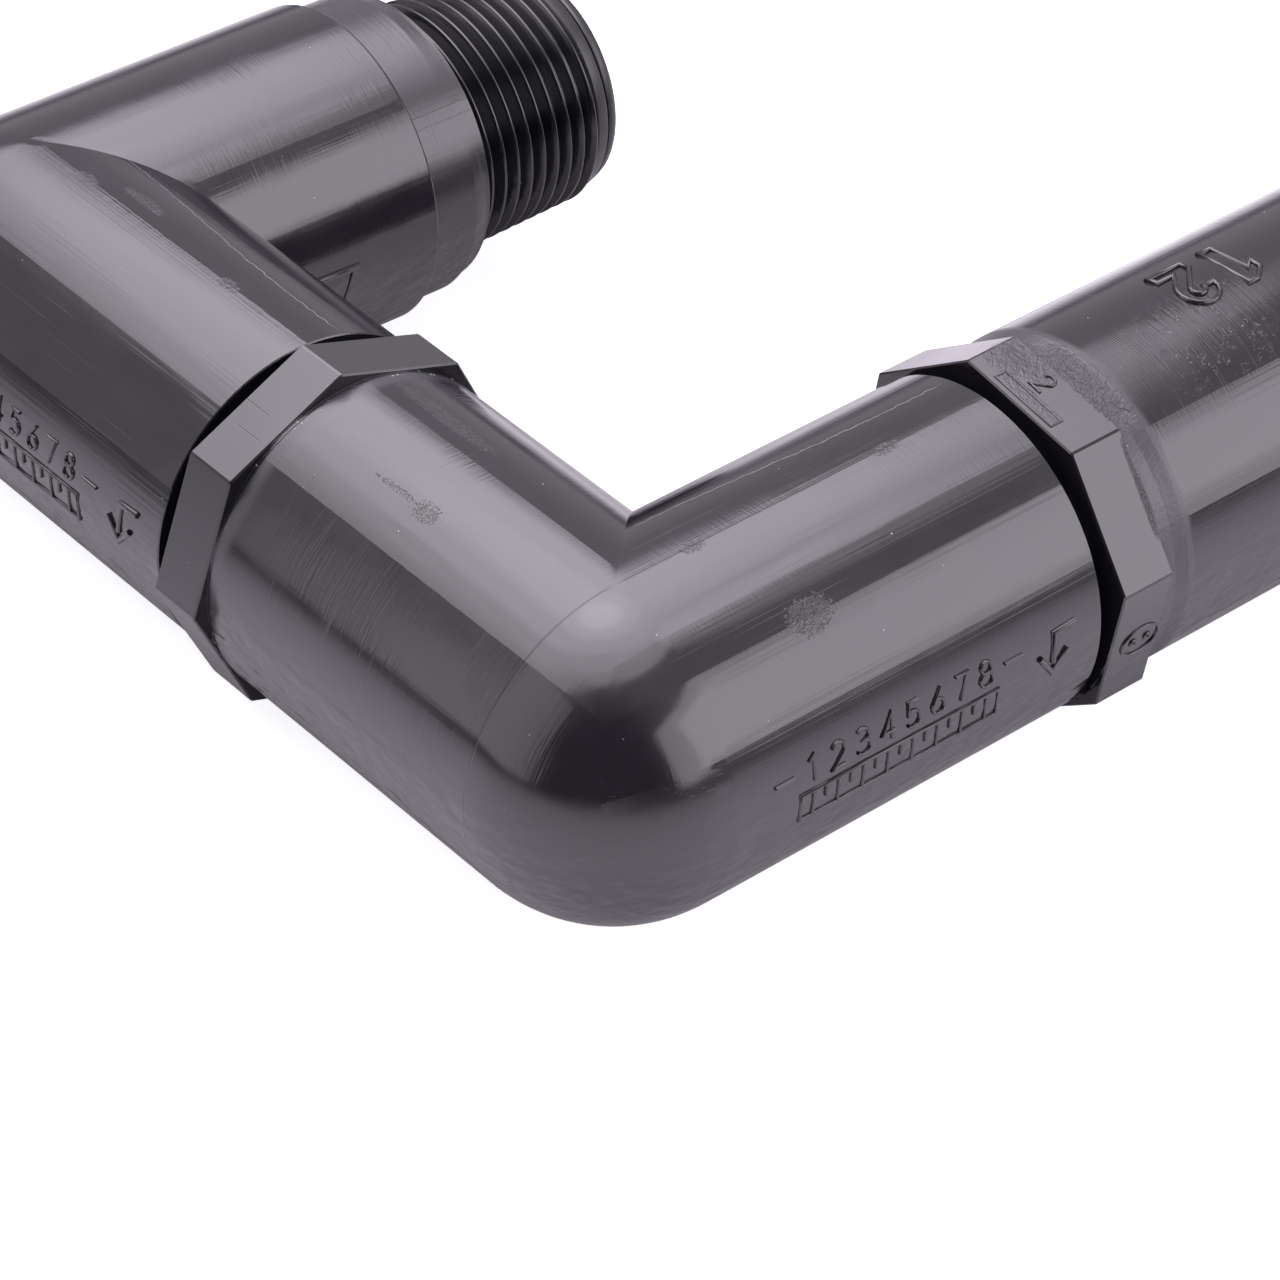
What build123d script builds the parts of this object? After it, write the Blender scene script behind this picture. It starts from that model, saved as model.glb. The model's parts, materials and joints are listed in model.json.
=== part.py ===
from build123d import *
import os
from math import cos, pi

# Triple swing joint in the 1 inch size, in PVC, millimetres.
# An inlet elbow, a lay arm, a middle elbow and an outlet elbow are joined by three screwed swivels.
# Each swivel is a plain-ended spigot with an octagonal wrench collar in a threaded socket.
# Two O-rings seal it: one near the mouth keeps dirt out, one at the nose holds the water in.
# The origin is on the inlet thread's axis, where a mating fitting's face stands hand tight.
# +Z is up, the inlet leg runs along +X from there, and the lay arm runs along -Y.

# Elbows and lay arm
leg_radius = 21.4
waterway_radius = 12.0
lay_length = 304.8
socket_leg = 54.9
collar_leg = 47.3
edge_break = 0.15
arm_neck_relief = 0.4
arm_neck_length = 2.6
arm_neck_blend = 1.8

# Octagonal wrench collars, turned about their own axis as they were left
octagon_stand = 0.265
octagon_width = 7.7
octagon_edge = 0.2
elbow_octagon_turn = -3.0
arm_octagon_turn = -12.3

# Male pipe ends, measured from the elbow's centre
pipe_step_at = 46.7
pipe_oval_at = 53.6
pipe_oval_blend = 1.9
pipe_collar_end = 56.0
pipe_rim_at = 79.6
pipe_end_at = 81.5
pipe_step_round = 0.5
pipe_collar_step = 1.2
pipe_oval_flat = 0.8
pipe_oval_turn = 47.4
thread_core_radius = 14.9
pipe_rim_radius = 14.2
hand_tight_length = 10.16
outlet_droop = 1.45

# Swivel thread, 7 turns per inch, left half a turn out from hand tight
swivel_pitch = 25.4 / 7
turns_out = 0.5
turns_full_out = 1.0
face_clearance = 0.05

# Swivel socket and spigot: walls and steps, and lengths along the spigot from the wrench collar's face
mouth_wall = 3.3
thread_step = 0.4
nose_step = 1.42
land_clearance = 0.08
thread_clearance = 0.1
groove_lead = 0.9
thread_length = 15.0
thread_relief = 1.0
nose_length = 10.4
nose_groove_at = 5.4
nose_chamfer = 0.8
socket_floor_clearance = 0.4
mouth_chamfer = 0.7

# O-rings of 2.62 mm section, drawn as squeezed between groove and bore
ring_section = 2.62
groove_depth = 2.05
groove_width = 3.4
groove_land = 1.0
ring_clearance = 0.03
ring_corner_share = 0.45

# Worked out from the sizes above
octagon_corner_radius = (leg_radius + octagon_stand) / cos(pi / 8)
collar_root = octagon_width / 2
pipe_collar_radius = leg_radius - pipe_collar_step
pipe_oval_minor = pipe_collar_radius - pipe_oval_flat
mouth_bore_radius = leg_radius - mouth_wall
thread_crest_radius = mouth_bore_radius - thread_step
nose_bore_radius = thread_crest_radius - nose_step
swivel_gap = face_clearance + turns_out * swivel_pitch
widest_gap = face_clearance + turns_full_out * swivel_pitch
land_radius = mouth_bore_radius - land_clearance
nose_radius = nose_bore_radius - land_clearance
thread_bore_radius = thread_crest_radius + thread_clearance
dirt_groove_at = widest_gap + groove_lead
thread_at = dirt_groove_at + groove_width + groove_land
nose_at = thread_at + thread_length
pressure_groove_at = nose_at + nose_groove_at
spigot_length = nose_at + nose_length
mouth_bore_depth = thread_at
nose_bore_at = nose_at + thread_relief
socket_depth = spigot_length + socket_floor_clearance
arm_face_length = lay_length - 2 * (socket_leg + swivel_gap)
elbow_spacing = collar_leg + octagon_width + swivel_gap + socket_leg
lay_line = pipe_end_at - hand_tight_length


def turned(points):
    """Revolve a closed outline of (along, radius) points about the X axis."""
    outline = Polyline(*points, close=True)
    return revolve(make_face(outline), Axis.X)


def leg(length, end_break):
    """A plain round leg from the elbow's centre, with a broken edge at its end."""
    return turned([
        (0, 0),
        (0, leg_radius),
        (length - end_break, leg_radius),
        (length, leg_radius - end_break),
        (length, 0),
    ])


def elbow_barrel(second_leg):
    """Two equal legs that meet in a mitre inside the bend and a ball outside it."""
    first = leg(socket_leg, edge_break)
    ball = Sphere(leg_radius)
    return first + ball + Rot(0, 0, 90) * second_leg


def elbow_waterway(second_length):
    """The bore through both legs, rounded at the corner."""
    first = turned([(0, 0), (0, waterway_radius), (socket_leg, waterway_radius), (socket_leg, 0)])
    second = turned([(0, 0), (0, waterway_radius), (second_length, waterway_radius), (second_length, 0)])
    return first + Sphere(waterway_radius) + Rot(0, 0, 90) * second


def socket_cavity():
    """The swivel socket: mouth bore for the dirt seal, threaded length and nose bore."""
    cavity = turned([
        (0, 0),
        (0, mouth_bore_radius + mouth_chamfer),
        (mouth_chamfer, mouth_bore_radius),
        (mouth_bore_depth, mouth_bore_radius),
        (mouth_bore_depth, thread_bore_radius),
        (nose_bore_at, thread_bore_radius),
        (nose_bore_at, nose_bore_radius + mouth_chamfer),
        (nose_bore_at + mouth_chamfer, nose_bore_radius),
        (socket_depth, nose_bore_radius),
        (socket_depth, 0),
    ])
    return Pos(socket_leg, 0, 0) * Rot(0, 0, 180) * cavity


def wrench_collar(turn):
    """The octagonal collar along +X, one corner turned from +Z towards -Y."""
    face = Plane.YZ * Rot(0, 0, 90 + turn) * RegularPolygon(octagon_corner_radius, 8)
    body = extrude(face, octagon_width)
    return chamfer(body.edges(), octagon_edge)


def spigot():
    """The swivel spigot along +X from its wrench collar's face, with two ring grooves."""
    land_floor = land_radius - groove_depth
    nose_floor = nose_radius - groove_depth
    return turned([
        (-collar_root, 0),
        (-collar_root, land_radius),
        (dirt_groove_at, land_radius),
        (dirt_groove_at, land_floor),
        (dirt_groove_at + groove_width, land_floor),
        (dirt_groove_at + groove_width, land_radius),
        (thread_at, land_radius),
        (thread_at, thread_crest_radius),
        (nose_at - nose_chamfer, thread_crest_radius),
        (nose_at, nose_radius),
        (pressure_groove_at, nose_radius),
        (pressure_groove_at, nose_floor),
        (pressure_groove_at + groove_width, nose_floor),
        (pressure_groove_at + groove_width, nose_radius),
        (spigot_length - nose_chamfer, nose_radius),
        (spigot_length, nose_radius - nose_chamfer),
        (spigot_length, 0),
    ])


def seal_ring(groove_at, bore_radius, body_radius):
    """An O-ring squeezed between its groove's floor and the bore around it."""
    inner = body_radius - groove_depth + ring_clearance
    outer = bore_radius - ring_clearance
    height = outer - inner
    corner = ring_corner_share * height
    ring_area = pi * ring_section ** 2 / 4
    corners_lost = (4 - pi) * corner ** 2
    width = (ring_area + corners_lost) / height
    centre = Pos(groove_at + groove_width / 2, (inner + outer) / 2)
    section = centre * RectangleRounded(width, height, corner)
    return revolve(section, Axis.X)


def pipe_end():
    """The outer form of a male pipe leg along +X: step, oval collar, thread core and rim."""
    barrel = turned([(0, 0), (0, leg_radius), (pipe_step_at, leg_radius), (pipe_step_at, 0)])
    step_edge = barrel.edges().filter_by(GeomType.CIRCLE).sort_by(Axis.X)[-1]
    barrel = fillet(step_edge, pipe_step_round)
    collar = Pos(pipe_oval_at / 2, 0, 0) * Rot(0, 90, 0) * Cylinder(pipe_collar_radius, pipe_oval_at)
    oval_turn = Rot(0, 0, pipe_oval_turn)
    round_end = Plane.YZ.offset(pipe_oval_at) * Circle(pipe_collar_radius)
    oval_start = Plane.YZ.offset(pipe_oval_at + pipe_oval_blend) * oval_turn \
        * Ellipse(pipe_oval_minor, pipe_collar_radius)
    blend = loft([round_end.face(), oval_start.face()])
    oval = extrude(oval_start.face(), pipe_collar_end - pipe_oval_at - pipe_oval_blend)
    core = turned([
        (0, 0),
        (0, thread_core_radius),
        (pipe_rim_at, thread_core_radius),
        (pipe_end_at, pipe_rim_radius),
        (pipe_end_at, 0),
    ])
    return barrel + collar + blend + oval + core


def pipe_elbow():
    """An elbow with its swivel socket along +X and its male pipe thread along +Y."""
    body = elbow_barrel(pipe_end())
    return body - elbow_waterway(pipe_end_at) - socket_cavity()


def swivel_elbow():
    """The elbow with its swivel socket along +X and its spigot along +Y."""
    second = leg(collar_leg + edge_break, edge_break)
    second += Pos(collar_leg, 0, 0) * wrench_collar(elbow_octagon_turn)
    second += Pos(collar_leg + octagon_width, 0, 0) * spigot()
    body = elbow_barrel(second)
    return body - elbow_waterway(collar_leg + octagon_width + spigot_length) - socket_cavity()


def arm_barrel():
    """The straight barrel between the arm's two octagons, slightly necked behind each."""
    start = collar_root
    end = arm_face_length - collar_root
    neck_end = octagon_width + arm_neck_length
    far_neck_end = arm_face_length - neck_end
    neck_radius = leg_radius - arm_neck_relief
    return turned([
        (start, 0),
        (start, neck_radius),
        (neck_end, neck_radius),
        (neck_end + arm_neck_blend, leg_radius),
        (far_neck_end - arm_neck_blend, leg_radius),
        (far_neck_end, neck_radius),
        (end, neck_radius),
        (end, 0),
    ])


def lay_arm():
    """The lay arm along +X, with a wrench collar and a spigot moulded at each end."""
    body = arm_barrel()
    for collar_at in (0, arm_face_length - octagon_width):
        body += Pos(collar_at, 0, 0) * wrench_collar(arm_octagon_turn)
    body += Pos(arm_face_length, 0, 0) * spigot()
    body += Rot(0, 0, 180) * spigot()
    reach = arm_face_length + 2 * spigot_length
    bore = Pos(arm_face_length / 2, 0, 0) * Rot(0, 90, 0) * Cylinder(waterway_radius, reach)
    return body - bore


def swivel_seals(place):
    """The dirt seal and the pressure seal of the swivel whose spigot starts at this place."""
    dirt = place * seal_ring(dirt_groove_at, mouth_bore_radius, land_radius)
    pressure = place * seal_ring(pressure_groove_at, nose_bore_radius, nose_radius)
    return dirt, pressure


# Where each piece stands
inlet_place = Pos(lay_line, 0, 0) * Rot(0, 0, -90) * Rot(180, 0, 0)
middle_place = Pos(lay_line, -lay_length, 0) * Rot(0, 0, 90)
arm_place = middle_place * Pos(socket_leg + swivel_gap, 0, 0)
outlet_place = Pos(lay_line - elbow_spacing, -lay_length, 0) * Rot(-outlet_droop, 0, 0)

# Where each swivel's spigot starts
inlet_swivel = arm_place * Pos(arm_face_length, 0, 0)
middle_swivel = arm_place * Rot(0, 0, 180)
outlet_swivel = middle_place * Rot(0, 0, 90) * Pos(collar_leg + octagon_width, 0, 0)

parts = {
    "inlet_elbow": inlet_place * pipe_elbow(),
    "lay_arm": arm_place * lay_arm(),
    "middle_elbow": middle_place * swivel_elbow(),
    "outlet_elbow": outlet_place * pipe_elbow(),
}
swivels = {"inlet": inlet_swivel, "middle": middle_swivel, "outlet": outlet_swivel}
for swivel_name, swivel_place in swivels.items():
    dirt_seal, pressure_seal = swivel_seals(swivel_place)
    parts[swivel_name + "_dirt_seal"] = dirt_seal
    parts[swivel_name + "_pressure_seal"] = pressure_seal

os.makedirs("parts", exist_ok=True)
for name, part in parts.items():
    export_step(part, "parts/" + name + ".step")
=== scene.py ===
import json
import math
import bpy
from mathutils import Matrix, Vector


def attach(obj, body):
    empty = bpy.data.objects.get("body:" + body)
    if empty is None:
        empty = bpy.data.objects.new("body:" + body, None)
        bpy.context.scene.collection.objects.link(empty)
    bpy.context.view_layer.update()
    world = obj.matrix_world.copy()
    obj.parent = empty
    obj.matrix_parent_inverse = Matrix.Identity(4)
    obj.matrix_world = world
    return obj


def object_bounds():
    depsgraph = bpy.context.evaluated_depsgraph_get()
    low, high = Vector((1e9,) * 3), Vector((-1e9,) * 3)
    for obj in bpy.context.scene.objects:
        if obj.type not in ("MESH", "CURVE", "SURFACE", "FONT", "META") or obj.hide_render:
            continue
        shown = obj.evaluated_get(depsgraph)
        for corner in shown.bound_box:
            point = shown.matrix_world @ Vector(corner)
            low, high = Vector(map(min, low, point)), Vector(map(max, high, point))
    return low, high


bl_info = {
    "name": "Triple Swing Joint",
    "version": (1, 0, 0),
    "blender": (4, 5, 0),
    "location": "3D View > Sidebar > Swing Joint",
    "description": "Dresses the packed swing joint: moulded PVC, pipe threads, moulded marks and the studio",
    "category": "Object",
}

import bpy
from bpy.props import FloatProperty, FloatVectorProperty, IntProperty, PointerProperty
from bpy.types import NodeSocket, Operator, Panel, PropertyGroup
from mathutils import Euler, Matrix, Vector

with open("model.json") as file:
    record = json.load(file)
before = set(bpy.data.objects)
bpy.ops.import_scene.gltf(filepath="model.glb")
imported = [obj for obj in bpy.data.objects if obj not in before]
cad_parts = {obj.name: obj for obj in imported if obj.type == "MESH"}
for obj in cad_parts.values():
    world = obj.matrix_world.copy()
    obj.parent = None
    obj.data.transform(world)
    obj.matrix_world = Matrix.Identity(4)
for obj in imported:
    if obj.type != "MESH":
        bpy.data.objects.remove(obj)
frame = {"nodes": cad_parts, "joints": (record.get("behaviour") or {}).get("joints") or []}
joints = {row["name"]: row for row in frame["joints"]}
cad_lowest, cad_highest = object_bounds()

MM = 0.001

# Main sizes of the solids, as in the part's source
LEG_RADIUS = 21.4 * MM
SOCKET_LEG = 54.9 * MM
COLLAR_LEG = 47.3 * MM
OCTAGON_WIDTH = 7.7 * MM
OCTAGON_CORNER = 23.45 * MM
ARM_OCTAGON_TURN = -12.3
OCTAGON_HALF_TURN = 22.5
SWIVEL_GAP = 1.864 * MM
PIPE_COLLAR_END = 56.0 * MM
THREAD_CORE_RADIUS = 14.9 * MM
PIPE_GAUGE_PLANE = 62.6 * MM
OUTLET_DROOP = math.radians(1.45)

# Elbow centres, from where the swivels stand
inlet_mouth = Vector(joints["inlet_swivel"]["pos_m"])
middle_mouth = Vector(joints["middle_swivel"]["pos_m"])
outlet_mouth = Vector(joints["outlet_swivel"]["pos_m"])
inlet_centre = inlet_mouth + Vector((0, SOCKET_LEG, 0))
middle_centre = middle_mouth - Vector((0, SOCKET_LEG, 0))
outlet_centre = outlet_mouth - Vector((SOCKET_LEG, 0, 0))
LAY_LENGTH = (inlet_centre - middle_centre).length

# Each moulding's own frame: the socket leg runs along its X, the other leg along its Y
PLACES = {
    "inlet_elbow": (inlet_centre, (math.pi, 0.0, -math.pi / 2)),
    "middle_elbow": (middle_centre, (0.0, 0.0, math.pi / 2)),
    "outlet_elbow": (outlet_centre, (-OUTLET_DROOP, 0.0, 0.0)),
    "lay_arm": (middle_centre, (0.0, 0.0, math.pi / 2)),
}

# Distance round a leg for one degree, in mm, and a span right round it
MM_PER_DEGREE = LEG_RADIUS / MM * math.pi / 180
ALL_ROUND = (-180.0, 180.0)

# Height of a fine scratch and depth of a pit in the skin, in mm
SCRATCH_HEIGHT = -0.0022
PIT_DEPTH = 0.055

# Tones of the clouded skin, and of pits, dark seams and the painted shade in the middle elbow's collar
# crease, as shares of the PVC's colour
DARK_TONE = 0.88
PALE_TONE = 1.14
PIT_LINE_AND_SHADE_TONE = 0.35

DUST_ROUGHNESS = 0.8
PVC_IOR = 1.62


# Sizes and colours that a user may change
class SwingPlasticSettings(PropertyGroup):
    """Colour and surface of the moulded PVC and the rubber seals."""

    colour: FloatVectorProperty(
        name="PVC colour", description="Dark grey of the moulded PVC",
        subtype="COLOR", size=3, min=0.0, max=1.0, default=(0.0088, 0.0082, 0.0108))
    worn_colour: FloatVectorProperty(
        name="Scuff colour", description="Paler grey where the PVC is scuffed",
        subtype="COLOR", size=3, min=0.0, max=1.0, default=(0.040, 0.038, 0.044))
    dust_colour: FloatVectorProperty(
        name="Dust colour", description="Grey of the fine dust on the PVC",
        subtype="COLOR", size=3, min=0.0, max=1.0, default=(0.42, 0.41, 0.43))
    gloss: FloatProperty(
        name="Roughness", description="Roughness of the clean moulded skin",
        subtype="FACTOR", min=0.0, max=1.0, default=0.13)
    scuff_gloss: FloatProperty(
        name="Scuff roughness", description="Roughness where the skin is scuffed",
        subtype="FACTOR", min=0.0, max=1.0, default=0.40)
    peel: FloatProperty(
        name="Peel", description="Depth of the soft waves in the moulded skin, in mm",
        min=0.0, max=0.2, precision=4, default=0.020)
    hatch: FloatProperty(
        name="Hatch", description="Depth of the fine polishing marks round each leg, in mm",
        min=0.0, max=0.1, precision=4, default=0.018)
    streak: FloatProperty(
        name="Streak", description="Depth of the fine lines along each leg, in mm",
        min=0.0, max=0.1, precision=4, default=0.030)
    rubber: FloatVectorProperty(
        name="Rubber colour", description="Black of the O-rings",
        subtype="COLOR", size=3, min=0.0, max=1.0, default=(0.012, 0.012, 0.013))


class SwingThreadSettings(PropertyGroup):
    """The tapered pipe thread on both free ends."""

    pitch: FloatProperty(
        name="Pitch", description="Distance between crests, 11.5 turns to the inch",
        subtype="DISTANCE", unit="LENGTH", precision=5, default=25.4 / 11.5 * MM)
    start: FloatProperty(
        name="Start", description="Where the ridge leaves the collar, from the elbow's centre",
        subtype="DISTANCE", unit="LENGTH", precision=5, default=56.3 * MM)
    end: FloatProperty(
        name="End", description="Where the ridge runs out, from the elbow's centre",
        subtype="DISTANCE", unit="LENGTH", precision=5, default=78.6 * MM)
    crest_at_gauge: FloatProperty(
        name="Crest radius", description="Crest radius at the thread's gauge plane",
        subtype="DISTANCE", unit="LENGTH", precision=5, default=16.67 * MM)
    crest_round: FloatProperty(
        name="Crest rounding", description="Radius of the rounded crest, as a share of the pitch",
        min=0.02, max=0.3, default=0.12)
    taper: FloatProperty(
        name="Taper", description="How much the crest radius falls along the thread",
        precision=5, default=1 / 32)
    phase: FloatProperty(
        name="Phase", description="Turn of the thread about the pipe's axis",
        subtype="ANGLE", unit="ROTATION", default=0.0)
    steps: IntProperty(
        name="Steps", description="Mesh steps in one turn", min=24, max=256, default=112)


class SwingMarkSettings(PropertyGroup):
    """The raised marks moulded on sockets, arm and collars."""

    rise: FloatProperty(
        name="Rise", description="Height of the small raised marks",
        subtype="DISTANCE", unit="LENGTH", precision=5, default=0.30 * MM)
    stroke: FloatProperty(
        name="Stroke", description="Width of a small mark's stroke",
        subtype="DISTANCE", unit="LENGTH", precision=5, default=0.46 * MM)
    scale_from: FloatProperty(
        name="Scale from", description="Start of the turn scale, from the elbow's centre",
        subtype="DISTANCE", unit="LENGTH", precision=5, default=5.4 * MM)
    scale_to: FloatProperty(
        name="Scale to", description="End of the turn scale, from the elbow's centre",
        subtype="DISTANCE", unit="LENGTH", precision=5, default=42.5 * MM)
    numeral: FloatProperty(
        name="Numeral", description="Height of the turn scale's numerals",
        subtype="DISTANCE", unit="LENGTH", precision=5, default=3.3 * MM)
    arm_numeral: FloatProperty(
        name="Arm numeral", description="Height of the outlined numerals on the lay arm",
        subtype="DISTANCE", unit="LENGTH", precision=5, default=8.4 * MM)
    arm_stroke: FloatProperty(
        name="Arm stroke", description="Width of the outlined numerals' ribs",
        subtype="DISTANCE", unit="LENGTH", precision=5, default=0.75 * MM)
    arm_rise: FloatProperty(
        name="Arm rise", description="Height of the outlined numerals' ribs",
        subtype="DISTANCE", unit="LENGTH", precision=5, default=0.45 * MM)


class SwingStudioSettings(PropertyGroup):
    """The floor, the lamps, the world and the camera."""

    floor: FloatVectorProperty(
        name="Floor colour", description="Pale floor under the part",
        subtype="COLOR", size=3, min=0.0, max=1.0, default=(0.85, 0.83, 0.86))
    # Painted shade: the floor's colour away from the part and in the painted shadow between the elbows
    floor_shade: FloatVectorProperty(
        name="Far floor colour", description="Darker floor away from the part",
        subtype="COLOR", size=3, min=0.0, max=1.0, default=(0.215, 0.21, 0.22))
    lamp: FloatVectorProperty(
        name="Lamp colour", description="Tint of the soft boxes",
        subtype="COLOR", size=3, min=0.0, max=1.0, default=(0.972, 0.915, 1.0))
    background: FloatProperty(
        name="Background", description="White that the camera sees round the part",
        min=0.0, max=2.0, default=0.80)
    lens: FloatProperty(
        name="Focal length", description="Focal length on a 36 mm sensor, in mm",
        min=10.0, max=500.0, default=149.04)


# First input and first output of a mix node, for each kind of value that it mixes
MIX_SOCKETS = {"FLOAT": (2, 0), "VECTOR": (4, 1), "RGBA": (6, 2)}


# Shader node helpers
class Graph:
    """Adds nodes and links to one shader tree; most calls give back an output socket."""

    def __init__(self, tree):
        self.tree = tree

    def put(self, socket, value):
        if isinstance(value, NodeSocket):
            self.tree.links.new(value, socket)
        elif value is not None:
            socket.default_value = value

    def node(self, kind, *values):
        """A new node, with its first inputs filled in order."""
        node = self.tree.nodes.new("ShaderNode" + kind)
        for socket, value in zip(node.inputs, values):
            self.put(socket, value)
        return node

    def math(self, operation, first, second=None):
        node = self.node("Math", first, second)
        node.operation = operation
        return node.outputs[0]

    def times(self, *values):
        """The product of all its values."""
        product = values[0]
        for value in values[1:]:
            product = self.math("MULTIPLY", product, value)
        return product

    def total(self, values):
        result = values[0]
        for value in values[1:]:
            result = self.math("ADD", result, value)
        return result

    def centred(self, noise):
        """A noise moved down, so that it lies about nought."""
        return self.math("SUBTRACT", noise, 0.5)

    def vector(self, operation, first, second=None, scale=None):
        node = self.node("VectorMath", first, second)
        node.operation = operation
        if scale is not None:
            self.put(node.inputs["Scale"], scale)
        gives_value = operation in ("DOT_PRODUCT", "LENGTH", "DISTANCE")
        return node.outputs["Value" if gives_value else "Vector"]

    def split(self, vector):
        return self.node("SeparateXYZ", vector).outputs

    def join(self, x, y, z):
        return self.node("CombineXYZ", x, y, z).outputs[0]

    def ramp(self, value, low, high, low_out=0.0, high_out=1.0):
        """Goes smoothly from low_out to high_out as value goes from low to high."""
        node = self.node("MapRange", value, low, high, low_out, high_out)
        node.interpolation_type = "SMOOTHSTEP"
        return node.outputs[0]

    def noise(self, vector, scale, detail=2.0, roughness=0.5, distortion=0.0):
        """Soft noise from 0 to 1; scale is one number, or a number for each axis."""
        if isinstance(scale, tuple):
            vector = self.vector("MULTIPLY", vector, scale)
            scale = 1.0
        node = self.tree.nodes.new("ShaderNodeTexNoise")
        for name, value in (("Vector", vector), ("Scale", scale), ("Detail", detail),
                            ("Roughness", roughness), ("Distortion", distortion)):
            self.put(node.inputs[name], value)
        return node.outputs["Fac"]

    def cells(self, vector, scale):
        """Distance to the nearest of many scattered points, and that point's own random colour."""
        node = self.tree.nodes.new("ShaderNodeTexVoronoi")
        self.put(node.inputs["Vector"], vector)
        self.put(node.inputs["Scale"], scale)
        return node.outputs["Distance"], node.outputs["Color"]

    def mix(self, kind, factor, first, second):
        entry, leave = MIX_SOCKETS[kind]
        node = self.tree.nodes.new("ShaderNodeMix")
        node.data_type = kind
        self.put(node.inputs[0], factor)
        self.put(node.inputs[entry], first)
        self.put(node.inputs[entry + 1], second)
        return node.outputs[leave]

    def blend(self, factor, first, second):
        return self.mix("RGBA", factor, first, second)

    def lerp(self, factor, first, second):
        return self.mix("FLOAT", factor, first, second)

    def group(self, name, **inputs):
        """Places a shared node group; keyword names stand for socket names, _ for a space."""
        node = self.tree.nodes.new("ShaderNodeGroup")
        node.node_tree = shared_group(name)
        for label, value in inputs.items():
            self.put(node.inputs[label.replace("_", " ").capitalize()], value)
        return node.outputs

    def bump(self, shader, height, distance):
        """Tilts a shader's surface by a height; the distance is the height's unit."""
        node = self.tree.nodes.new("ShaderNodeBump")
        node.inputs["Distance"].default_value = distance
        self.put(node.inputs["Height"], height)
        self.put(shader.inputs["Normal"], node.outputs[0])


def rgba(colour, shade=1.0):
    return (colour[0] * shade, colour[1] * shade, colour[2] * shade, 1.0)


# Shared node groups
def new_group(name, inputs, outputs):
    """An empty shader node group, its graph, input sockets and output node; None is a vector."""
    tree = bpy.data.node_groups.new(name, "ShaderNodeTree")
    for label, default in inputs.items():
        kind = "NodeSocketVector" if default is None else "NodeSocketFloat"
        socket = tree.interface.new_socket(name=label, in_out="INPUT", socket_type=kind)
        if default is not None:
            socket.default_value = default
    for label in outputs:
        tree.interface.new_socket(name=label, in_out="OUTPUT", socket_type="NodeSocketFloat")
    entry = tree.nodes.new("NodeGroupInput")
    leave = tree.nodes.new("NodeGroupOutput")
    return tree, Graph(tree), entry.outputs, leave.inputs


def make_leg_group():
    """Where a point lies on a leg: along it, round it and out from its axis."""
    tree, g, given, out = new_group("Leg Coordinates", {"Leg": None}, ("Along", "Angle", "Radius"))
    along, side, up = g.split(given["Leg"])
    g.put(out["Along"], along)
    g.put(out["Angle"], g.times(g.math("ARCTAN2", side, up), 180 / math.pi))
    g.put(out["Radius"], g.math("SQRT", g.math("ADD", g.times(side, side), g.times(up, up))))
    return tree


def make_skin_group():
    """The moulded skin that all PVC pieces share: waves, polishing marks, cloudiness and dust."""
    tree, g, given, out = new_group(
        "Moulded Skin",
        {"Leg": None, "Angle": 0.0, "Seed": 0.0, "Peel": 0.02, "Hatch": 0.003, "Streak": 0.002,
         "Long share": 0.0},
        ("Height", "Cloud", "Dust", "Scratch"))
    shift = g.vector("SCALE", (13.1, 57.7, 31.3), scale=given["Seed"])
    spot = g.vector("ADD", given["Leg"], shift)
    waves = g.noise(spot, (0.17, 0.27, 0.27), detail=1.0, roughness=0.45)
    ripples = g.noise(spot, (0.26, 0.5, 0.5), detail=1.0)
    turn = g.math("ABSOLUTE", given["Angle"])
    underside = g.times(g.ramp(turn, 76.0, 104.0, 0.0, 20.0), g.ramp(turn, 112.0, 138.0, 1.0, 0.1))
    round_marks = g.noise(spot, (3.4, 0.13, 0.13), roughness=0.6)
    long_marks = g.noise(spot, (0.009, 1.9, 1.9), roughness=0.6)
    past_bend = g.ramp(g.split(given["Leg"])[0], -3.0, 9.0)
    patches = g.noise(spot, (0.06, 0.10, 0.10), detail=1.0)
    round_patch = g.ramp(patches, 0.40, 0.60, 0.25, 1.0)
    long_patch = g.ramp(patches, 0.62, 0.40, 0.25, 1.0)
    tilted = g.vector("ADD", spot, g.join(g.times(g.split(spot)[1], 0.07), 0.0, 0.0))
    run = g.mix("VECTOR", given["Long share"], g.vector("MULTIPLY", tilted, (4.6, 0.04, 0.04)),
                g.vector("MULTIPLY", spot, (0.035, 4.2, 4.2)))
    lines = g.noise(run, 1.0, detail=0.0)
    scratch = g.times(g.ramp(lines, 0.69, 0.78), g.ramp(patches, 0.44, 0.62))
    g.put(out["Height"], g.total([
        g.times(g.centred(waves), given["Peel"]),
        g.times(g.centred(ripples), given["Peel"], underside),
        g.times(g.centred(round_marks), given["Hatch"], round_patch),
        g.times(g.centred(long_marks), given["Streak"], long_patch, past_bend),
        g.times(scratch, SCRATCH_HEIGHT),
    ]))
    g.put(out["Scratch"], scratch)
    g.put(out["Cloud"], g.noise(spot, (0.09, 0.16, 0.16), detail=4.0, roughness=0.6))
    near, colour = g.cells(spot, 0.55)
    chance, size, _ = g.split(colour)
    speck = g.math("LESS_THAN", near, g.times(size, 0.050))
    g.put(out["Dust"], g.times(speck, g.math("GREATER_THAN", chance, 0.80)))
    return tree


def wandered(g, given):
    """The given distance, moved by the leg's slow sway."""
    return g.math("ADD", given["Distance"], g.times(given["Sway"], given["Wander"]))


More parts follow.
